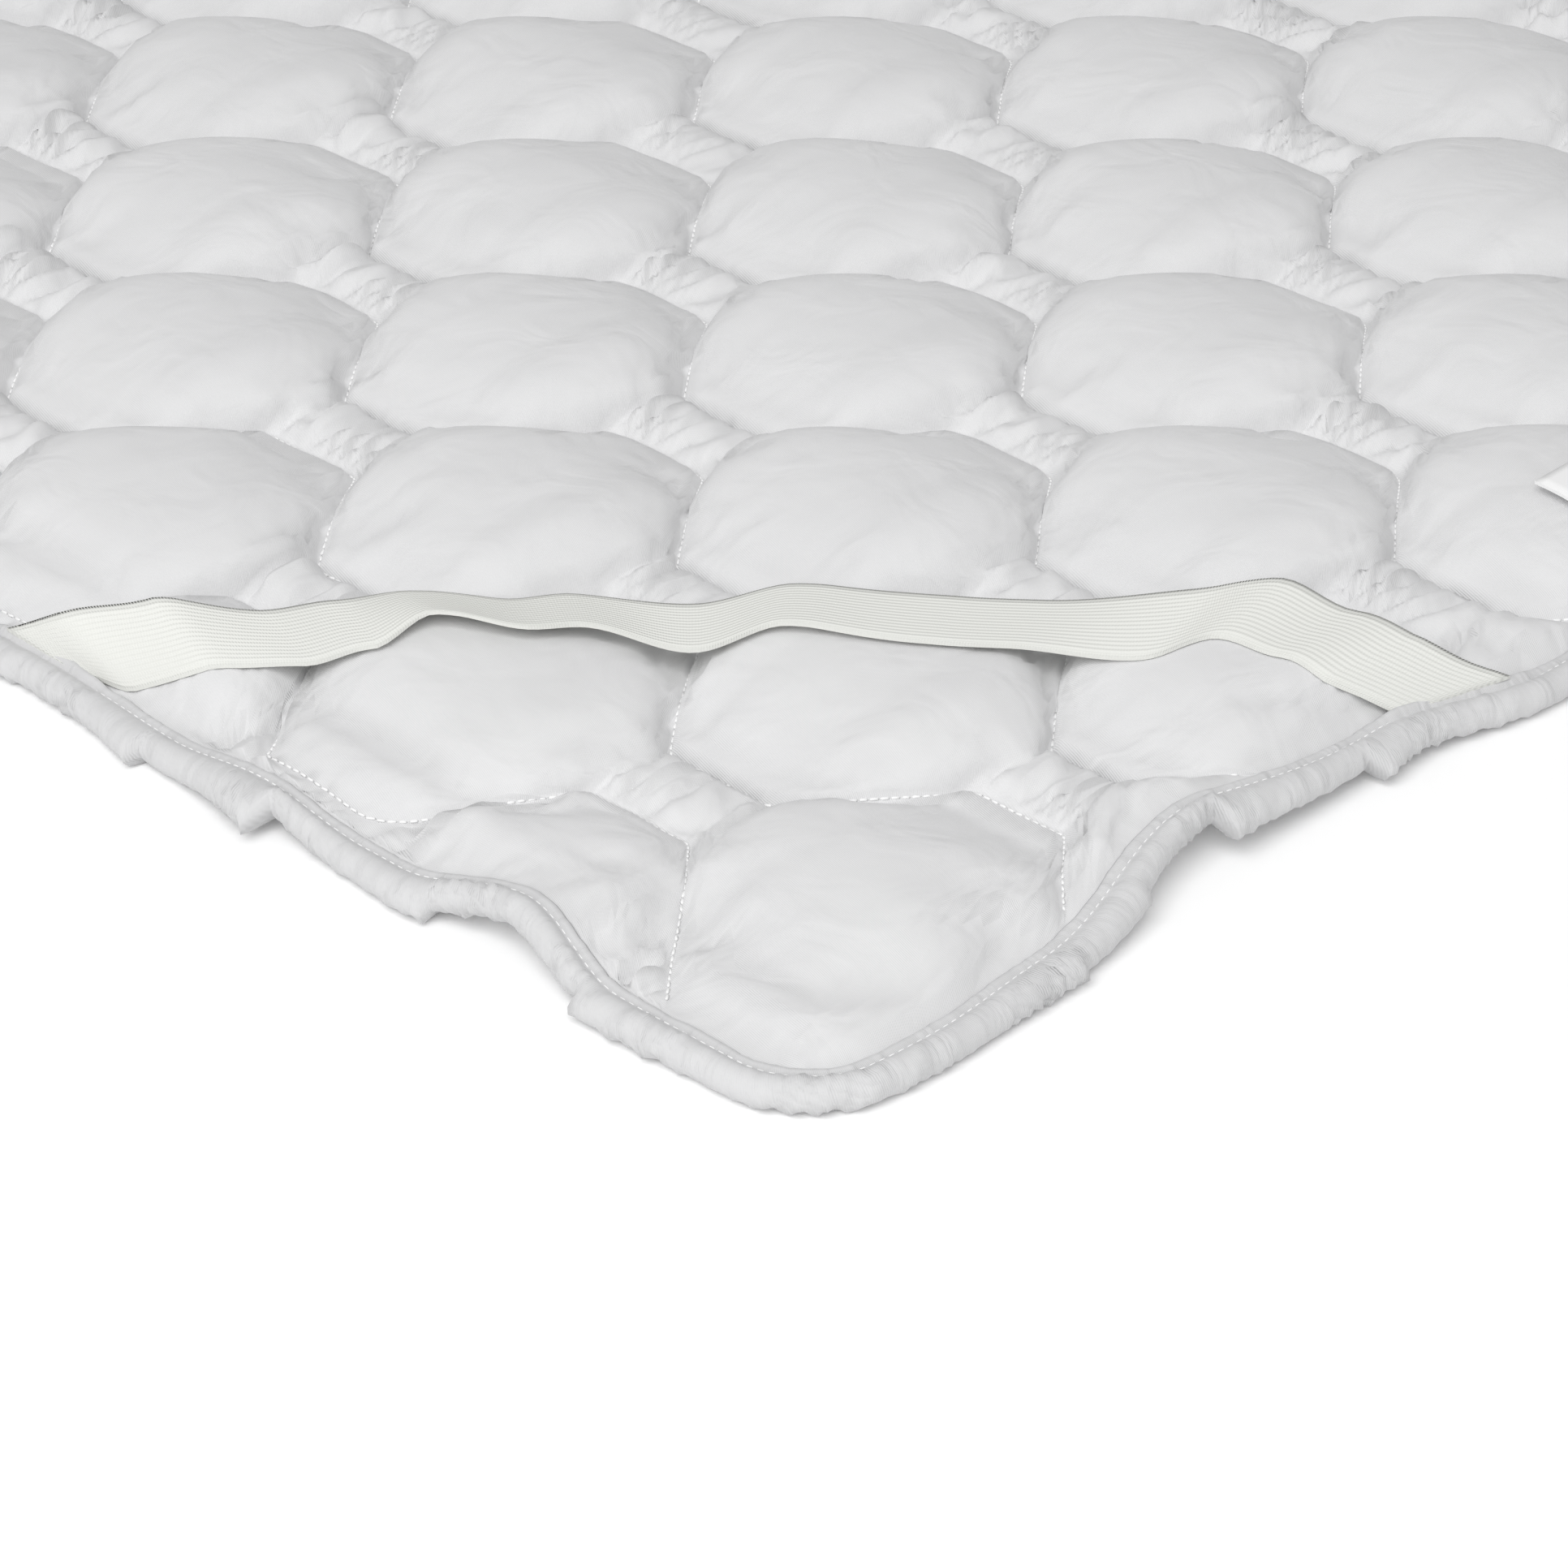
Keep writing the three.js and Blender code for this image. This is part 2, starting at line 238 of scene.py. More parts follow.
def cloth_grid():
    """The flat places of the cloth's points, and each one's share of the way across its strip."""
    ys = row_places()
    lines = [np.full_like(ys, -half_x)]
    lines += [seam_line(k, ys) for k in range(line_count)]
    lines += [np.full_like(ys, half_x)]
    xs, shares, widths, sewn, strips = [], [], [], [], []
    for strip in range(line_count + 1):
        low, high = lines[strip], lines[strip + 1]
        count = fine_columns if strip < near_strips else wide_columns
        even = np.arange(count) / count
        crowded = 0.5 - 0.5 * np.cos(math.pi * even)
        columns = list(crowded_share * crowded + even_share * even)
        if strip == line_count:
            columns.append(1.0)
        margin = np.minimum(flat_margin, 0.6 * (high - low))
        for number, share in enumerate(columns):
            x = low + (high - low) * share
            # The outer strips have one column at the margin's end and the rest inside it
            if strip == 0 and number > 0:
                x = low + margin + (high - low - margin) * (share - columns[1]) / (1 - columns[1])
            if strip == line_count and share < 1:
                x = low + (high - low - margin) * share / columns[-2]
            xs.append(x)
            shares.append((x - low) / (high - low))
            widths.append(high - low)
            sewn.append(share in (0.0, 1.0))
            strips.append(strip)
    x = np.stack(xs, 1)
    y = np.repeat(ys[:, None], x.shape[1], 1)
    return x, y, np.stack(shares, 1), np.stack(widths, 1), np.array(sewn), np.array(strips)


def seam_rise(k, y):
    """A seam stands a little higher where it crosses between two wide cells."""
    beat = beat_of(k, y)
    crossing = np.maximum(np.sin(np.clip((beat - quarter) / quarter, 0, 1) * math.pi),
                          np.sin(np.clip((beat - 3 * quarter) / quarter, 0, 1) * math.pi))
    inside = np.minimum(half_y - np.abs(y), half_x - np.abs(seam_line(k, y)))
    return crossing_rise * crossing * smooth((inside - 0.012) / 0.04)


flat_x, flat_y, across, strip_width, sewn_columns, strip_number = cloth_grid()
row_total, column_total = flat_x.shape
full_strip = 0.055                   # a strip this wide starts with most of its crown
rise = start_crown * (1 - np.exp(-(strip_width / full_strip) ** 1.3))
# The corner cell has less filling than the others
thin_spot, thin_reach = (-0.400, -0.920), 0.085
corner_flattened = np.exp(-(np.hypot(flat_x - thin_spot[0], flat_y - thin_spot[1]) / thin_reach) ** 2)
rise = rise * (1 - 0.72 * corner_flattened)
shoulder = (1 - np.abs(1 - 2 * across) ** 2.2) ** 0.75
from_end = np.clip((half_y - flat_margin - np.abs(flat_y)) / crown_fall, 0, 1)
from_side = np.clip((half_x - flat_margin - np.abs(flat_x)) / 0.02, 0, 1)
crown = rise * shoulder * (1 - (1 - from_end) ** 2.6) ** 0.6 * smooth(from_side)
start_x, start_y = placed(flat_x, flat_y)
seam_rises = np.stack([np.zeros(row_total)] + [seam_rise(k, flat_y[:, 0]) for k in range(line_count)]
                      + [np.zeros(row_total)], 1)
level = seam_rises[:, strip_number] * (1 - across) + seam_rises[:, strip_number + 1] * across
start_z = seam_height + level + crown + edge_lift(flat_x, flat_y)

in_margin = (np.abs(flat_x) > half_x - flat_margin - 1e-4) | (np.abs(flat_y) > half_y - flat_margin - 1e-4)
held = in_margin | sewn_columns[None, :]
neck = smooth((0.060 - strip_width) / 0.028)             # 1 in the narrow necks between cells
near_seam = np.exp(-np.minimum(across, 1 - across) * strip_width / 0.010)

# Fine gathers across each neck are laid in the cloth before it is blown up
beat = beat_of(strip_number[None, :], flat_y)
beat = np.where(beat > 0.6, beat - 1, beat)
gather_pitch = 0.0078
gather_turn = 2 * math.pi * (flat_y / gather_pitch + 0.9 * np.sin(flat_x * 67 + 1.3 * strip_number) +
                             0.5 * np.sin(flat_y * 151 + flat_x * 23) + (across - 0.5) * 0.8)
strength = 0.0008 + 0.0013 * np.exp(-((beat - 0.02) / 0.045) ** 2)
strength = strength * (0.75 + 0.5 * np.sin(flat_y * 41 + 2.1 * strip_number))
start_z = start_z + strength * neck * np.sin(gather_turn) * (1 - in_margin) * (4 * across * (1 - across))
laid_out = np.stack([start_x, start_y, start_z], -1)


def grid_faces(rows, columns):
    """The four-sided faces of a grid of points."""
    at = np.arange(rows * columns).reshape(rows, columns)
    return np.stack([at[:-1, :-1], at[:-1, 1:], at[1:, 1:], at[1:, :-1]], -1).reshape(-1, 4)


def mesh_object(name, points, faces):
    """A new object at the origin from its points and faces."""
    mesh = bpy.data.meshes.new(name)
    mesh.from_pydata(np.asarray(points).reshape(-1, 3).tolist(), [],
                     [list(map(int, face)) for face in faces])
    mesh.update()
    made = bpy.data.objects.new(name, mesh)
    scene.collection.objects.link(made)
    return made


def graded_group(cloth, name, amounts):
    """A group that holds the cloth's points in ten steps of strength."""
    group = cloth.vertex_groups.new(name=name)
    for tenth in range(1, 11):
        chosen = np.nonzero(np.round(amounts * 10) == tenth)[0].tolist()
        group.add(chosen, tenth / 10, "REPLACE")


def blown_up():
    """The cloth after it is held at its seams and pushed out from inside."""
    frames = 20
    rest = np.stack([flat_x, flat_y, seam_height + level + crown], -1)
    cloth = mesh_object("cloth_trial", rest, grid_faces(row_total, column_total))
    cloth.shape_key_add(name="Basis")
    laid = cloth.shape_key_add(name="laid")
    laid.data.foreach_set("co", laid_out.reshape(-1))
    laid.value = 1.0
    pins = cloth.vertex_groups.new(name="sewn")
    pins.add(np.nonzero(held.reshape(-1))[0].tolist(), 1.0, "REPLACE")
    graded_group(cloth, "gathered", np.clip(0.95 * neck + 0.15 * near_seam, 0, 1).reshape(-1))
    graded_group(cloth, "filled", 1 - 0.68 * corner_flattened.reshape(-1))
    cloth_tool = cloth.modifiers.new("Cloth", "CLOTH")
    settings = cloth_tool.settings
    settings.quality = 2
    settings.mass = 0.15
    settings.air_damping = 1.0
    for way, stiffness in (("tension", 12), ("compression", 12), ("shear", 4)):
        setattr(settings, f"{way}_stiffness", stiffness)
        setattr(settings, f"{way}_damping", 5)
    settings.bending_stiffness = 0.02
    settings.rest_shape_key = cloth.data.shape_keys.key_blocks["Basis"]
    settings.use_pressure = True
    settings.uniform_pressure_force = 4.0
    settings.vertex_group_mass = "sewn"
    settings.vertex_group_pressure = "filled"
    settings.vertex_group_shrink = "gathered"
    settings.shrink_min = -0.025
    settings.shrink_max = -0.13
    settings.effector_weights.gravity = 0
    cloth_tool.collision_settings.use_collision = False
    cloth_tool.collision_settings.use_self_collision = False
    cloth_tool.point_cache.frame_start = 1
    cloth_tool.point_cache.frame_end = frames
    for number in range(1, frames + 1):
        scene.frame_set(number)
    shown = cloth.evaluated_get(bpy.context.evaluated_depsgraph_get())
    points = np.empty(row_total * column_total * 3)
    shown.data.vertices.foreach_get("co", points)
    scene.frame_set(1)
    bpy.data.objects.remove(cloth)
    return points.reshape(row_total, column_total, 3)


top = blown_up()
most_move = 0.016                    # the furthest that a point moves along an axis
lowest_top = 0.0035
top = laid_out + np.clip(top - laid_out, -most_move, most_move)
top[..., 2] = np.maximum(top[..., 2], lowest_top)

# Soft folds that fan out from the ends of each crossing into the wide cells
fans = np.zeros_like(flat_x)
rng = np.random.default_rng(7)
for k in range(line_count):
    for beat_at, share_at in ((0.0, 0.0), (0.75, 1.0)):
        for wave in range(-1, 15):
            node_y = first_neck - (beat_at - (k % 2) * 0.5) * repeat + wave * repeat
            if abs(node_y) > half_y - 0.01:
                continue
            node_x = first_line + k * repeat / 2 + wave_height * share_at
            rows = np.nonzero(np.abs(flat_y[:, 0] - node_y) < 0.075)[0]
            part = np.s_[rows[0]:rows[-1] + 1, :]
            away_x, away_y = flat_x[part] - node_x, flat_y[part] - node_y
            distance = np.hypot(away_x, away_y)
            angle = np.arctan2(away_y, away_x)
            pleats = rng.integers(7, 12)
            height = rng.uniform(0.0004, 0.0010) * smooth(distance / 0.012) * np.exp(-(distance / 0.034) ** 2)
            bend = rng.uniform(-12, 12) * distance
            wave_form = np.sin(pleats * angle + bend * 2 + rng.uniform(0, 6.28))
            wave_form = wave_form * (0.55 + 0.45 * np.sin(2 * angle + rng.uniform(0, 6.28)))
            fans[part] += height * wave_form

# Three stronger folds run across the start of each neck, with finer ones after them. The strong ones
# are given by their place from the kink, height, half width and lean.
neck_folds = ((-0.0050, 0.0043, 0.0020, 0.14), (0.0040, 0.0037, 0.0018, 0.02),
              (0.0118, 0.0023, 0.0016, -0.08))
seam_distance = np.minimum(across, 1 - across) * strip_width
from_kink = beat * repeat
neck_number = np.round((first_neck - flat_y) / repeat + 0.5 * (strip_number[None, :] % 2))
node_dice = np.sin(37.0 * strip_number[None, :] + 5.3 * neck_number)
folds = np.zeros_like(flat_x)
for place, height, half_wide, lean in neck_folds:
    centre = place + 0.0015 * node_dice + lean * (across - 0.5) * strip_width + 0.004 * (across - 0.5) ** 2
    folds += height * (1 + 0.3 * node_dice) * np.exp(-((from_kink - centre) / half_wide) ** 2)
folds = folds * np.clip((0.075 - strip_width) / 0.03, 0, 1) * (0.35 + 0.65 * np.sin(math.pi * across ** 0.8))
fine = 0.0010 * neck * np.sin(gather_turn) * (1 + 0.5 * node_dice)
top[..., 2] += (folds + fine) * smooth(seam_distance / 0.006) * (1 - in_margin)
top[..., 2] += fans * smooth(seam_distance / 0.010) * (1 - in_margin)

# The underside has every third row and a few columns of each strip, and hollows under the seams
row_pick = sorted(set(range(0, row_total - 1, 3)) | {row_total - 1})
strip_starts = [n for n in range(column_total) if sewn_columns[n]]
column_pick = sorted({start + step for start in strip_starts for step in (0, 4, 8, 12)
                      if start + step < column_total - 1 and (step == 0 or start + step not in strip_starts)
                      and (step < 5 or strip_number[start] < near_strips)} | {column_total - 1})
under_x = top[np.ix_(row_pick, column_pick)][..., 0]
under_y = top[np.ix_(row_pick, column_pick)][..., 1]
rim_lift = edge_lift(flat_x, flat_y)[np.ix_(row_pick, column_pick)]
under_seam = sewn_columns[column_pick][None, :] * np.ones((len(row_pick), 1))
seam_hollow, rim_height = 0.0042, 0.001
under_z = rim_lift + seam_hollow * under_seam
under_z[0] = rim_lift[0] + rim_height
under_z[-1] = under_z[:, 0] = under_z[:, -1] = rim_height
under_z[:, 0] += rim_lift[:, 0]
under = np.stack([under_x, under_y, under_z], -1)

top_count = row_total * column_total
top_at = np.arange(top_count).reshape(row_total, column_total)
under_at = top_count + np.arange(under_z.size).reshape(under_z.shape)
pad_faces = [list(face) for face in grid_faces(row_total, column_total)]
pad_faces += [list(top_count + face[::-1]) for face in grid_faces(*under_z.shape)]


def wall(under_chain, top_chain, picks):
    """Faces between a chain of the underside's rim and the finer chain of the top's rim."""
    for i in range(len(picks) - 1):
        upper = [top_chain[n] for n in range(picks[i + 1], picks[i] - 1, -1)]
        pad_faces.append([under_chain[i], under_chain[i + 1]] + upper)


def mirrored(picks, total):
    """The picked places counted from the other end."""
    return [total - 1 - n for n in reversed(picks)]


wall(under_at[0], top_at[0], column_pick)
wall(under_at[:, -1], top_at[:, -1], row_pick)
wall(under_at[-1][::-1], top_at[-1][::-1], mirrored(column_pick, column_total))
wall(under_at[::-1, 0], top_at[::-1, 0], mirrored(row_pick, row_total))
pad = mesh_object("quilted_cover", np.concatenate([top.reshape(-1, 3), under.reshape(-1, 3)]), pad_faces)


def shade_soft(piece):
    """Cloth and thread have no hard edges, so all faces are shaded smooth."""
    for polygon in piece.data.polygons:
        polygon.use_smooth = True


def lay_cloth_map(piece, flat_places):
    """Gives each mesh point its place on the flat cloth, so that the weave follows the folds."""
    cloth_map = piece.data.uv_layers.new(name="cloth")
    corner_points = np.empty(len(piece.data.loops), dtype=np.int32)
    piece.data.loops.foreach_get("vertex_index", corner_points)
    cloth_map.data.foreach_set("uv", flat_places[corner_points].reshape(-1))


shade_soft(pad)
lay_cloth_map(pad, np.concatenate([np.stack([flat_x, flat_y], -1).reshape(-1, 2),
                                   np.stack([under_x, under_y], -1).reshape(-1, 2)]))


def wired(material, kind, **values):
    """A new node of that kind with its own settings and unlinked sockets set."""
    node = material.node_tree.nodes.new(kind)
    for name, value in values.items():
        if hasattr(node, name):
            setattr(node, name, value)
        else:
            node.inputs[name.replace("_", " ")].default_value = value
    return node


def rib_scale(pitch):
    """The wave texture's scale for ribs this far apart."""
    return 2 * math.pi / (20 * pitch)


def twill_cloth(name, colour, shade, pucker_scale, pucker_depth, pucker_stretch, pucker_turn):
    """Fine white twill: steep diagonal ribs half a millimetre apart, slight slubs and a faint sheen."""
    rib_pitch, weave_depth = 0.0005, 0.00012
    cloth = plain_finish(name, Roughness=0.78, Sheen_Weight=0.15, Sheen_Roughness=0.4,
                         Specular_IOR_Level=0.25)
    tree = cloth.node_tree
    shader = tree.nodes["Principled BSDF"]
    places = wired(cloth, "ShaderNodeUVMap", uv_map="cloth")
    turned = wired(cloth, "ShaderNodeMapping", Rotation=(0, 0, math.radians(12)))
    ribs = wired(cloth, "ShaderNodeTexWave", wave_type="BANDS", bands_direction="X",
                 Scale=rib_scale(rib_pitch), Distortion=0.6, Detail_Scale=3.0)
    slubs = wired(cloth, "ShaderNodeTexNoise", Scale=1400, Detail=3)
    tone = wired(cloth, "ShaderNodeTexNoise", Scale=45, Detail=4)
    ramp = wired(cloth, "ShaderNodeValToRGB")
    ramp.color_ramp.elements[0].position = 0.3
    ramp.color_ramp.elements[0].color = (*(c * shade for c in colour), 1)
    ramp.color_ramp.elements[1].position = 0.7
    ramp.color_ramp.elements[1].color = (*colour, 1)
    stretched = wired(cloth, "ShaderNodeMapping", Rotation=(0, 0, math.radians(pucker_turn)),
                      Scale=(1, 1 / pucker_stretch, 1))
    puckers = wired(cloth, "ShaderNodeTexNoise", Scale=pucker_scale, Detail=2.5, Distortion=0.8)
    pucker_bump = wired(cloth, "ShaderNodeBump", Strength=0.7, Distance=pucker_depth)
    rib_bump = wired(cloth, "ShaderNodeBump", Strength=0.35, Distance=weave_depth)
    slub_bump = wired(cloth, "ShaderNodeBump", Strength=0.4, Distance=weave_depth)
    link = tree.links.new
    link(places.outputs["UV"], turned.inputs["Vector"])
    link(turned.outputs["Vector"], ribs.inputs["Vector"])
    link(places.outputs["UV"], slubs.inputs["Vector"])
    link(places.outputs["UV"], tone.inputs["Vector"])
    link(tone.outputs["Fac"], ramp.inputs["Fac"])
    link(ramp.outputs["Color"], shader.inputs["Base Color"])
    link(ribs.outputs["Fac"], rib_bump.inputs["Height"])
    link(slubs.outputs["Fac"], slub_bump.inputs["Height"])
    link(places.outputs["UV"], stretched.inputs["Vector"])
    link(stretched.outputs["Vector"], puckers.inputs["Vector"])
    link(puckers.outputs["Fac"], pucker_bump.inputs["Height"])
    link(pucker_bump.outputs["Normal"], rib_bump.inputs["Normal"])
    link(rib_bump.outputs["Normal"], slub_bump.inputs["Normal"])
    link(slub_bump.outputs["Normal"], shader.inputs["Normal"])
    return cloth


pad.data.materials.append(twill_cloth("white_twill", (0.72, 0.72, 0.725), 0.975, 42, 0.0022, 1, 0))
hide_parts("quilted_pad")
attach(pad, "root")


# The rolled binding. A strip of the same white twill, folded over the pad's edge and rolled under,
# sewn along its inner side. It is puckered all along, and where the edge is drawn in, it has
# buckled: one side of the buckle stands out and hangs lower than the other.
binding_section = np.array([                 # outwards from the seam, up from the surface, in mm
    (0.5, 1.0), (0.4, 6.2), (-2.4, 7.1), (-2.9, 7.5), (-2.2, 8.1), (-0.9, 8.2), (0.3, 7.6), (1.3, 8.3),
    (2.7, 9.5), (4.4, 9.9), (6.3, 9.3), (7.8, 7.6), (8.5, 5.3), (8.2, 3.2), (6.8, 1.4), (4.6, 0.4),
    (2.4, 0.3)]) / 1000
# Buckles near this corner: side, mm along it, how far the far side and the near side stand out
buckles = (("short", 103, 0.3, 3.0), ("short", 134, 0.6, 2.5), ("short", 176, 7.0, -3.5),
           ("short", 232, 5.0, -2.5), ("long", 80, -1.5, 2.5), ("long", 143, 4.0, -0.5),
           ("long", 205, 8.0, -3.0), ("long", 257, 4.5, -1.0), ("long", 314, 2.0, 0.0),
           ("long", 367, 2.5, 0.0), ("short", 318, 3.0, -1.0), ("short", 406, 3.0, 0.0))
buckle_fade, lap_fade = 18, 7        # mm along the edge
# Where a band or the label goes under the lip and raises it, in mm from the corner
lip_raised_at = {"long": ((291, 325),), "short": ((252, 290), (357, 399))}
outline_x, outline_y = 0.450, 1.000  # half the finished outline, over the binding
rim_length = 5.86                    # once round the seam


def wander(along, wavelength, seed):
    """A smooth random wave of about that wavelength, between -1 and 1, that closes round the rim."""
    dice = np.random.default_rng(seed)
    total = np.zeros_like(along)
    waves = 5
    for _ in range(waves):
        length = rim_length / max(1, round(rim_length / (wavelength * dice.uniform(0.6, 1.6))))
        total += np.sin(2 * math.pi * along / length + dice.uniform(0, 6.28)) * dice.uniform(0.5, 1)
    return total / (0.75 * waves) ** 0.5 / 1.6


def rim_stations():
    """Flat places round the pad's rim, counter-clockwise, closer together near this corner."""
    def steps(length, near_at_start, near_at_end):
        near_reach, near_step, far_step = 0.9, 0.0024, 0.005
        places = [0.0]
        while places[-1] < length:
            here = places[-1]
            near = (near_at_start and here < near_reach) or (near_at_end and here > length - near_reach)
            places.append(here + (near_step if near else far_step))
        places[-1] = length
        return np.array(places[:-1])
    across = steps(2 * half_x, True, True)
    along = steps(2 * half_y, False, False)
    homewards = steps(2 * half_y, False, True)
    far_side = steps(2 * half_x, False, False)
    x = np.concatenate([across - half_x, np.full_like(along, half_x), half_x - far_side,
                        np.full_like(homewards, -half_x)])
    y = np.concatenate([np.full_like(across, -half_y), along - half_y, np.full_like(far_side, half_y),
                        half_y - homewards])
    return x, y


rim_flat_x, rim_flat_y = rim_stations()
rim_x, rim_y = placed(rim_flat_x, rim_flat_y)
lift = edge_lift(rim_flat_x, rim_flat_y)
tangent_x = np.roll(rim_x, -2) - np.roll(rim_x, 2)
tangent_y = np.roll(rim_y, -2) - np.roll(rim_y, 2)
tangent_length = np.hypot(tangent_x, tangent_y)
out_x, out_y = tangent_y / tangent_length, -tangent_x / tangent_length
along_rim = np.concatenate([[0], np.cumsum(np.hypot(np.diff(rim_x), np.diff(rim_y)))])
last_step = math.hypot(rim_x[0] - rim_x[-1], rim_y[0] - rim_y[-1])
along_rim = along_rim * rim_length / (along_rim[-1] + last_step)

on_short = np.abs(rim_flat_y) > half_y - 1e-6
from_corner = np.where(on_short, outline_x - np.abs(rim_flat_x), outline_y - np.abs(rim_flat_y)) * 1000
home_side = np.where(on_short, rim_flat_y < 0, rim_flat_x < 0)
home_along = np.where(on_short, rim_flat_x * 1000 + outline_x * 1000,
                      rim_flat_y * 1000 + outline_y * 1000)

stands_out = np.zeros_like(rim_x)
laps = np.zeros_like(rim_x)
for side, place, far_out, near_out in buckles:
    this_side = home_side & (on_short if side == "short" else ~on_short)
    beyond = home_along - place
    stands_out += this_side * np.where(beyond > 0, far_out * np.exp(-beyond / buckle_fade),
                                       near_out * np.exp(beyond / buckle_fade)) / 1000
    lapped = np.where(beyond > 0, far_out * np.exp(-beyond / lap_fade),
                      -near_out * np.exp(beyond / lap_fade))
    laps += this_side * np.where(on_short, -1, 1) * np.clip(lapped, -8, 8) * 0.6 / 1000
# The rest of the rim has small pleats at random places
pleat_total, pleat_height, pleat_fade = 46, 0.0035, 0.018
buckles_end = 430                    # mm from this corner
elsewhere = ~home_side | (home_along > buckles_end)
for place in np.random.default_rng(3).uniform(0.2, along_rim[-1], pleat_total):
    beyond = along_rim - place
    stands_out += elsewhere * (beyond > 0) * pleat_height * np.exp(-np.clip(beyond, 0, 1) / pleat_fade)

lip_rise = 0.0016
rise_margin, rise_fade = 10, 8       # mm
lip_up = np.zeros_like(rim_x)
for side, ranges in lip_raised_at.items():
    for low, high in ranges:
        inside = (smooth((from_corner - low + rise_margin) / rise_fade) *
                  smooth((high + rise_margin - from_corner) / rise_fade))
        lip_up += inside * (on_short if side == "short" else ~on_short) * lip_rise

points_round = len(binding_section)
turn = np.arange(points_round) / points_round
section_out, section_up = binding_section[:, 0], binding_section[:, 1]
step_out = np.roll(section_out, -1) - np.roll(section_out, 1)
step_up = np.roll(section_up, -1) - np.roll(section_up, 1)
section_size = np.hypot(step_out, step_up)
face_out, face_up = -step_up / section_size, step_out / section_size
if (face_out * (section_out - 0.005) + face_up * (section_up - 0.0055)).sum() < 0:
    face_out, face_up = -face_out, -face_up
rolled = np.clip((section_out - 0.0005) / 0.004, 0, 1)       # 0 on the lip, 1 on the roll
on_lip = np.clip((0.0012 - section_out) / 0.003, 0, 1) * (section_up > 0.0068)

s = along_rim[:, None]
slant = 0.026 * turn[None, :]
pucker = wander(s + slant, 0.0090, 11) * (0.75 + 0.6 * wander(s, 0.05, 12)) * 0.0012
fatness = 1 + 0.07 * wander(s, 0.06, 13)
out = section_out[None, :] * (1 + (fatness - 1) * rolled) + pucker * face_out * rolled
up = section_up[None, :] * (1 + (fatness - 1) * rolled * 0.7) + pucker * face_up * rolled
out = out + stands_out[:, None] * rolled * np.clip(section_out / 0.009, 0, 1)
lip_wave = 0.0001 + 0.0003 * wander(s, 0.019, 14) + 0.0001 * wander(s, 0.007, 16)
up = up + on_lip * (np.maximum(lip_wave, 0.0) + lip_up[:, None])
out = out + on_lip * (0.0005 * wander(s, 0.021, 15) + 0.0002 * wander(s, 0.008, 17))
drop = np.minimum(lift[:, None], 0.3 * stands_out[:, None]) * np.clip(section_out / 0.008, 0, 1)
height = np.maximum(up + lift[:, None] - drop, 0.0)
lapped = laps[:, None] * rolled * np.clip(section_out / 0.009, 0, 1)
binding_points = np.stack([rim_x[:, None] + out_x[:, None] * out - out_y[:, None] * lapped,
                           rim_y[:, None] + out_y[:, None] * out + out_x[:, None] * lapped, height], -1)
station_count = len(rim_x)
ring = np.arange(station_count * points_round).reshape(station_count, points_round)
onward, around = np.roll(ring, -1, 0), np.roll(ring, -1, 1)
binding_faces = np.stack([ring, around, np.roll(onward, -1, 1), onward], -1).reshape(-1, 4)
binding = mesh_object("rolled_binding", binding_points, binding_faces)
shade_soft(binding)
section_walk = np.concatenate([[0], np.cumsum(np.hypot(np.diff(section_out), np.diff(section_up)))])
rim_walk = np.append(along_rim, rim_length)
section_walk = np.append(section_walk, section_walk[-1] + 0.002)
here_s, next_s = rim_walk[:-1, None], rim_walk[1:, None]
here_w, next_w = section_walk[None, :-1], section_walk[None, 1:]
binding_flat = np.stack([np.stack(np.broadcast_arrays(here_s, here_w), -1),
                         np.stack(np.broadcast_arrays(here_s, next_w), -1),
                         np.stack(np.broadcast_arrays(next_s, next_w), -1),
                         np.stack(np.broadcast_arrays(next_s, here_w), -1)], 2)
binding_map = binding.data.uv_layers.new(name="cloth")
binding_map.data.foreach_set("uv", binding_flat.reshape(-1))
# The binding's colour is darker than the pad's twill: painted shade that stands in for the shade on the
# rolled edge.
binding.data.materials.append(twill_cloth("binding_twill_painted_shade", (0.635, 0.635, 0.64), 0.97, 115, 0.0024, 3.5,
                                          -20))
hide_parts("edge_binding")
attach(binding, "root")


# The four corner bands. Each is a strip of ivory ribbed elastic, 25 mm wide, both ends caught in
# the binding. They lie loosely over the cells, bridge the hollows between them and tilt a little.
pad_tree = BVHTree.FromPolygons([Vector(p) for p in top.reshape(-1, 3)],
                                grid_faces(row_total, column_total).tolist())


def surface_under(x, y):
    """Height of the pad's top at a place."""
    well_above = 0.2
    struck = pad_tree.ray_cast(Vector((x, y, well_above)), Vector((0, 0, -1)))[0]
    return struck.z if struck else seam_height


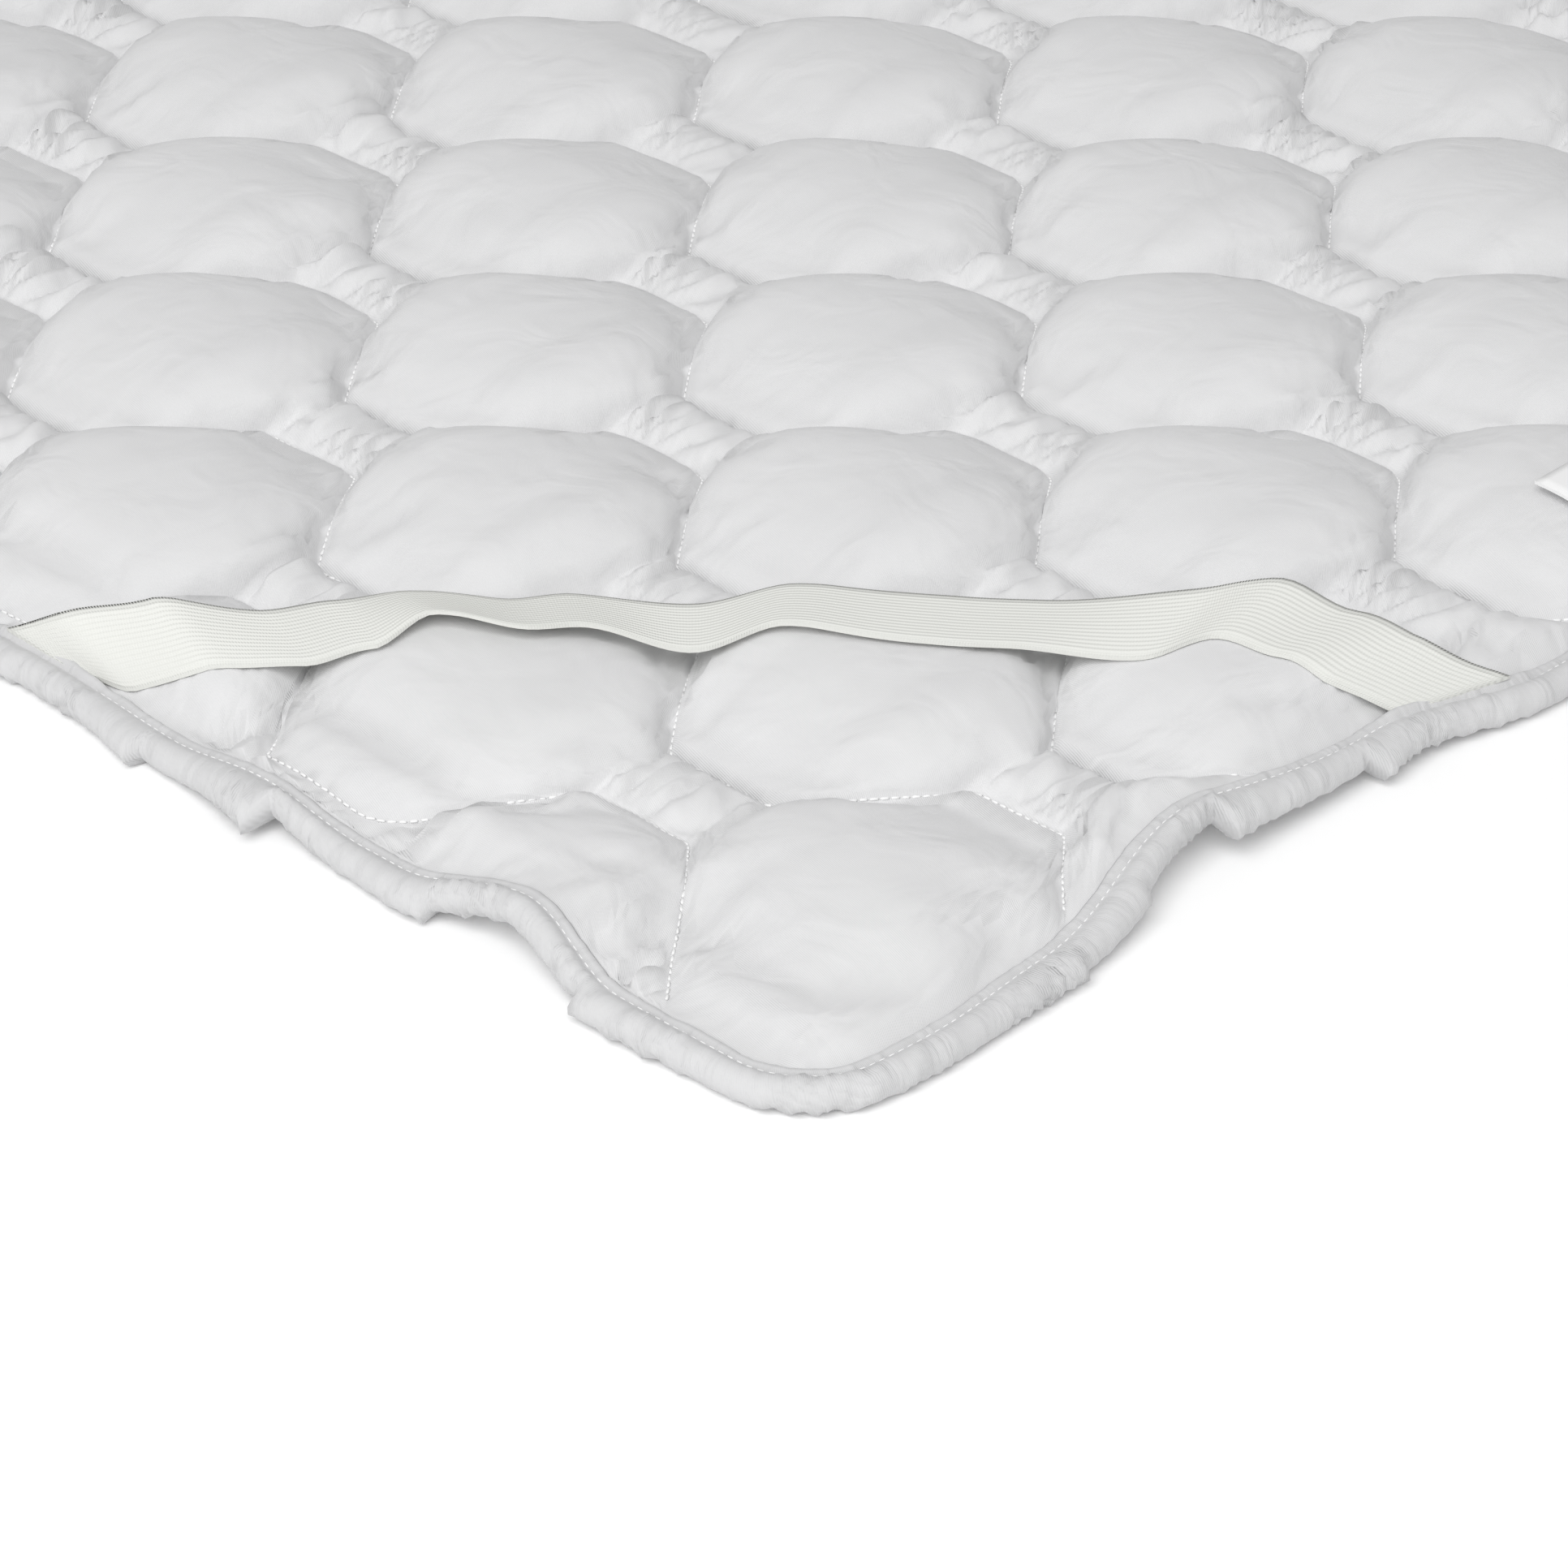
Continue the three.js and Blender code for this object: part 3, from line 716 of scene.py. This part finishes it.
def laid_strip(name, near, far, rises, thickness, sag, lifted):
    """A closed strip over the pad between its near and far edge places, and its length.

    It is laid on the pad, then pulled straight over the hollows with a little sag.
    """
    seat, sag_step, rounds = 0.0004, 0.0135, 12000
    rows, columns = len(near), 11
    share = np.linspace(0, 1, columns)
    x = near[:, None, 0] + (far - near)[:, None, 0] * share
    y = near[:, None, 1] + (far - near)[:, None, 1] * share
    tilt = rises[:, None] * (share - 0.5)
    under = np.array([[surface_under(x[i, j], y[i, j]) for j in range(columns)] for i in range(rows)])
    support = (under - tilt).max(1) + seat + lifted
    height = support.copy()
    step = np.hypot(*(near[1:] - near[:-1]).T).mean()
    drop_per_step = sag * (step / sag_step) ** 2
    for _ in range(rounds):
        bridged = (height[:-2] + height[2:]) / 2 - drop_per_step
        height[1:-1] = np.maximum(support[1:-1], bridged)
    low = np.stack([x, y, height[:, None] + tilt], -1)
    high = low + np.array([0, 0, thickness])
    points = np.concatenate([low.reshape(-1, 3), high.reshape(-1, 3)])
    at = np.arange(rows * columns).reshape(rows, columns)
    above = at + rows * columns
    faces = [list(face[::-1]) for face in grid_faces(rows, columns)]
    faces += [list(face + rows * columns) for face in grid_faces(rows, columns)]
    for lower, upper in ((at[0], above[0]), (at[:, -1], above[:, -1]), (at[-1][::-1], above[-1][::-1]),
                         (at[::-1, 0], above[::-1, 0])):
        faces += [[lower[i], lower[i + 1], upper[i + 1], upper[i]] for i in range(len(lower) - 1)]
    cross = np.cross(far[0] - near[0], near[1] - near[0])
    if cross < 0:
        faces = [face[::-1] for face in faces]
    strip = mesh_object(name, points, faces)
    for polygon in strip.data.polygons:
        polygon.use_smooth = len(polygon.vertices) == 4 and polygon.index < 2 * (rows - 1) * (columns - 1)
    middle = (near + far) / 2
    walked = np.concatenate([[0], np.cumsum(np.linalg.norm(np.diff(np.column_stack([middle, height]),
                                                                   axis=0), axis=1))])
    wide = np.hypot(*(far - near).T).mean()
    flat = np.stack([np.broadcast_to(walked[:, None], x.shape), np.broadcast_to(share * wide, x.shape)], -1)
    lay_cloth_map(strip, np.concatenate([flat.reshape(-1, 2)] * 2))
    return strip, walked[-1]


band_on_long, band_on_short = (0.293, 0.326), (0.251, 0.288)    # its edges' places, from the corner
band_seam = 0.0107                   # where its ends are caught, from the outline
# Shares of the band's length, how far it strays towards the corner, how far its far side stands up
# and how far it stands off the cells, in mm
band_lie = np.array([(0, 0, 2, 0), (0.045, 6, 11, 0), (0.10, 8, 8, 0), (0.176, 8, 3, 0), (0.225, 1, 1, 0),
                     (0.27, -9, -7, 1.2), (0.333, -6, -5, 0.5), (0.383, -12, -4, 1.2), (0.462, -4, 0.5, 1),
                     (0.528, -14.5, -1.5, 1.2), (0.628, -11, 0, 1), (0.694, -12, 0, 0), (0.794, -10, 7, 0),
                     (0.849, -18, 4, 0), (0.904, -7, 0, 0), (0.944, 1, 1, 0), (0.975, 1, -1, 0),
                     (1, 0, 0, 0)])
stray, far_side_up, stand_off = 1, 2, 3      # the columns above
# Each band's number, its corner's sides, and how loosely it lies, where a minus strays the other way
corner_bands = ((1, 1, 1, 1.0), (2, 1, -1, 0.5), (3, -1, -1, -0.7), (4, -1, 1, 0.2))


def lie_at(share, column):
    """One column of how the band lies, smoothly between the given shares, in metres."""
    upper = np.clip(np.searchsorted(band_lie[:, 0], share), 1, len(band_lie) - 1)
    before, after = band_lie[upper - 1], band_lie[upper]
    part = smooth((share - before[:, 0]) / (after[:, 0] - before[:, 0]))
    return (before[:, column] + (after[:, column] - before[:, column]) * part) / 1000


def ribbed_elastic(name):
    """Ivory elastic: fourteen ribs along its length, with a fine knit across them."""
    rib_pitch, knit_pitch = 0.00179, 0.00085
    knit = plain_finish(name, Base_Color=(0.76, 0.765, 0.73, 1), Roughness=0.85, Specular_IOR_Level=0.2)
    tree = knit.node_tree
    shader = tree.nodes["Principled BSDF"]
    places = wired(knit, "ShaderNodeUVMap", uv_map="cloth")
    ribs = wired(knit, "ShaderNodeTexWave", wave_type="BANDS", bands_direction="Y",
                 Scale=rib_scale(rib_pitch))
    cross = wired(knit, "ShaderNodeTexWave", wave_type="BANDS", bands_direction="X",
                  Scale=rib_scale(knit_pitch), Distortion=1.0)
    rib_bump = wired(knit, "ShaderNodeBump", Strength=0.6, Distance=0.0003)
    cross_bump = wired(knit, "ShaderNodeBump", Strength=0.5, Distance=0.00012)
    link = tree.links.new
    link(places.outputs["UV"], ribs.inputs["Vector"])
    link(places.outputs["UV"], cross.inputs["Vector"])
    link(ribs.outputs["Fac"], rib_bump.inputs["Height"])
    link(cross.outputs["Fac"], cross_bump.inputs["Height"])
    link(rib_bump.outputs["Normal"], cross_bump.inputs["Normal"])
    link(cross_bump.outputs["Normal"], shader.inputs["Normal"])
    return knit


elastic = ribbed_elastic("ivory_elastic")
for number, sign_x, sign_y, looseness in corner_bands:
    shares = np.linspace(0, 1, 136)
    edges = []
    for side in (0, 1):
        start = np.array([sign_x * (band_seam - outline_x), sign_y * (band_on_long[side] - outline_y)])
        end = np.array([sign_x * (band_on_short[side] - outline_x), sign_y * (band_seam - outline_y)])
        strays = looseness * lie_at(shares, stray)[:, None] * np.array([-sign_x, -sign_y]) / math.sqrt(2)
        line = start + (end - start) * shares[:, None] + strays
        pull_x, pull_y = edge_pull(line[:, 0], line[:, 1])
        edges.append(line + np.stack([pull_x, pull_y], -1))
    calm = abs(looseness)
    band, band_length = laid_strip(f"elastic_band_{number}", edges[0], edges[1],
                                   calm * lie_at(shares, far_side_up), 0.0010, 0.00035,
                                   lifted=calm * lie_at(shares, stand_off))
    band.data.materials.append(elastic)
    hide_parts(f"corner_band_{number}")
    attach(band, "root")


# The care label. A bare white tape, one end caught in the binding of the near short side, the
# rest lying inwards over the cell with its free end a little off the cloth.
label_place, label_half_wide, label_long = 0.378, 0.021, 0.047
label_rows = np.linspace(0, 1, 17)
label_edges = []
for side in (-1, 1):
    x = np.full_like(label_rows, label_place - outline_x + side * label_half_wide)
    y = -half_y + 0.0007 + label_long * label_rows
    pull_x, pull_y = edge_pull(x, y)
    label_edges.append(np.stack([x + pull_x, y + pull_y], -1))
label, _ = laid_strip("bare_label", label_edges[0], label_edges[1], np.zeros_like(label_rows), 0.001,
                      0.0004, lifted=0.002 * label_rows)
label.data.materials.append(plain_finish("label_tape", Base_Color=(0.86, 0.86, 0.86, 1), Roughness=0.5))
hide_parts("care_label")
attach(label, "root")


# The sewing. White thread stitched through both layers along the twelve quilting lines, and one
# row of shorter stitches that holds the binding's lip down.
def stitches(name, starts, ends, ups, radius):
    """Small closed threads from start to end, each fattest in the middle."""
    starts, ends, ups = (np.asarray(a, dtype=float) for a in (starts, ends, ups))
    run = ends - starts
    run_unit = run / np.linalg.norm(run, axis=1, keepdims=True)
    across_unit = np.cross(run_unit, ups)
    across_unit /= np.linalg.norm(across_unit, axis=1, keepdims=True)
    up_unit = np.cross(across_unit, run_unit)
    points_each = 10                 # a tip, two rings of four and the other tip
    rings = []
    for at in (0.22, 0.78):
        for across_share, up_share in ((1, 0), (0, 1), (-1, 0), (0, -1)):
            rings.append(starts + run * at + radius * (across_share * across_unit + up_share * up_unit))
    cloud = np.stack([starts] + rings + [ends], 1)
    base = (np.arange(len(starts)) * points_each)[:, None]
    faces = []
    for k in range(4):
        n = (k + 1) % 4
        faces.append(base + np.array([0, 1 + k, 1 + n]))
        faces.append(base + np.array([9, 5 + n, 5 + k]))
    faces += [base + np.array([1 + k, 5 + k, 5 + (k + 1) % 4, 1 + (k + 1) % 4]) for k in range(4)]
    all_faces = [list(face) for block in faces for face in block]
    sewn = mesh_object(name, cloud.reshape(-1, 3), all_faces)
    shade_soft(sewn)
    return sewn


thread = plain_finish("sewing_thread", Base_Color=(0.88, 0.88, 0.88, 1), Roughness=0.5)
stitch_pitch, stitch_length = 0.0029, 0.0027
lip_pitch, lip_stitch_length = 0.0032, 0.0024
stitch_starts, stitch_ends = [], []
for k in range(line_count):
    fine_y = np.arange(-half_y + 0.005, half_y - 0.005, 0.0004)
    fine_x, line_y = placed(seam_line(k, fine_y), fine_y)
    open_seam = np.minimum(half_x - np.abs(seam_line(k, fine_y)), half_y - np.abs(fine_y)) > 0.0065
    line_z = seam_height + edge_lift(seam_line(k, fine_y), fine_y) + seam_rise(k, fine_y) + 0.0003
    walk = np.concatenate([[0], np.cumsum(np.hypot(np.diff(fine_x), np.diff(line_y)))])
    heads = np.arange(0.001, walk[-1] - 0.003, stitch_pitch)
    heads = heads[np.interp(heads, walk, open_seam.astype(float)) > 0.5]
    for shift, store in ((0.0, stitch_starts), (stitch_length, stitch_ends)):
        store.append(np.stack([np.interp(heads + shift, walk, line) for line in (fine_x, line_y, line_z)],
                              -1))
starts, ends = np.concatenate(stitch_starts), np.concatenate(stitch_ends)
sway = np.random.default_rng(5).normal(0, 0.00018, starts.shape[0])
starts[:, 0] += sway
ends[:, 0] -= sway
quilting = stitches("quilting_thread", starts, ends, np.tile([0, 0, 1.0], (len(starts), 1)), 0.00047)

heads = np.arange(0.001, along_rim[-1] - 0.004, lip_pitch)
groove = np.stack([rim_x + out_x * 0.0003, rim_y + out_y * 0.0003, lift + 0.00765], -1)
groove_at = [np.stack([np.interp(heads + shift, along_rim, groove[:, i]) for i in range(3)], -1)
             for shift in (0.0, lip_stitch_length)]
binding_stitches = stitches("binding_thread", groove_at[0], groove_at[1],
                            np.tile([0, 0, 1.0], (len(heads), 1)), 0.00025)
for sewing in (quilting, binding_stitches):
    sewing.data.materials.append(thread)
    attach(sewing, "root")
